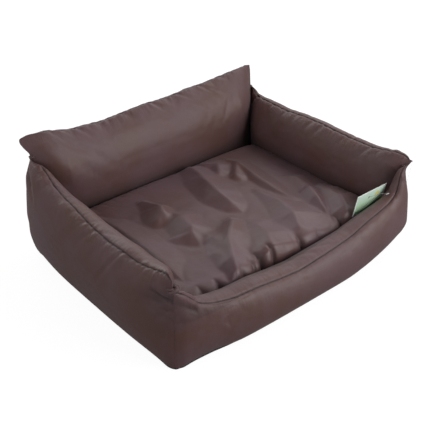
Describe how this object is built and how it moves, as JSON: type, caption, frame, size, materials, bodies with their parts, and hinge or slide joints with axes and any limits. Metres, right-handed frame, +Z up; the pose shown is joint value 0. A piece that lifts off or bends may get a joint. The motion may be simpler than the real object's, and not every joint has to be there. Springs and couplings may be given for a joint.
{
  "type": "dog sofa bed",
  "caption": "Rectangular dog bed with stuffed cloth walls, a low front to step over, a loose zipped cushion and a swing tag.",
  "frame": {"origin": "on the floor, below the middle of the bed's outer box", "axes": "+X to the right along the back wall as seen from the front, +Y towards the back wall, +Z up"},
  "size_m": [0.7016, 0.5802, 0.2607],
  "materials": {
    "cover_cloth": "satin",
    "lining_cloth": "matte",
    "underside_cloth": "matte",
    "fibre": "matte",
    "wadding": "matte",
    "thread": "satin",
    "zip_tape": "matte",
    "zip_coil": "satin",
    "zip_metal": "satin",
    "tag_pin_plastic": "gloss",
    "tag_card": "satin"
  },
  "bodies": {
    "bed": {"base_panel": "underside_cloth", "base_wadding": "wadding", "base_lining": "lining_cloth", "back_outer_panel": "cover_cloth", "back_inner_panel": "cover_cloth", "back_filling": "fibre", "left_outer_panel": "cover_cloth", "left_inner_panel": "cover_cloth", "left_filling": "fibre", "right_outer_panel": "cover_cloth", "right_inner_panel": "cover_cloth", "right_filling": "fibre", "front_outer_panel": "cover_cloth", "front_inner_panel": "cover_cloth", "front_filling": "fibre", "corner_seams": "cover_cloth", "corner_tacks": "thread", "tag_pin": "tag_pin_plastic"},
    "cushion": {"cushion_top_panel": "cover_cloth", "cushion_boxing_strip": "cover_cloth", "cushion_bottom_panel": "cover_cloth", "cushion_filling": "fibre", "zip_tapes": "zip_tape", "zip_coils": "zip_coil", "zip_stops": "zip_metal"},
    "zip_slider": {"zip_slider": "zip_metal"},
    "zip_pull": {"zip_pull": "zip_metal"},
    "swing_tag": {"swing_tag": "tag_card"}
  },
  "joints": [
    {"name": "cushion_lift", "type": "slide", "parent": "bed", "child": "cushion", "axis": [0, 0, 1], "range_m": [0, 0.3]},
    {"name": "zip_slide", "type": "slide", "parent": "cushion", "child": "zip_slider", "axis": [-1, 0, 0], "range_m": [0, 0.3884]},
    {"name": "zip_pull_swing", "type": "hinge", "parent": "zip_slider", "child": "zip_pull", "pos_m": [0.1942, 0.1985, 0.038], "axis": [0, 0, -1], "range_deg": [0, 15]},
    {"name": "tag_swing", "type": "hinge", "parent": "bed", "child": "swing_tag", "pos_m": [0.23, -0.21976, 0.13132], "axis": [1, 0, 0], "range_deg": [0, 15]}
  ]
}
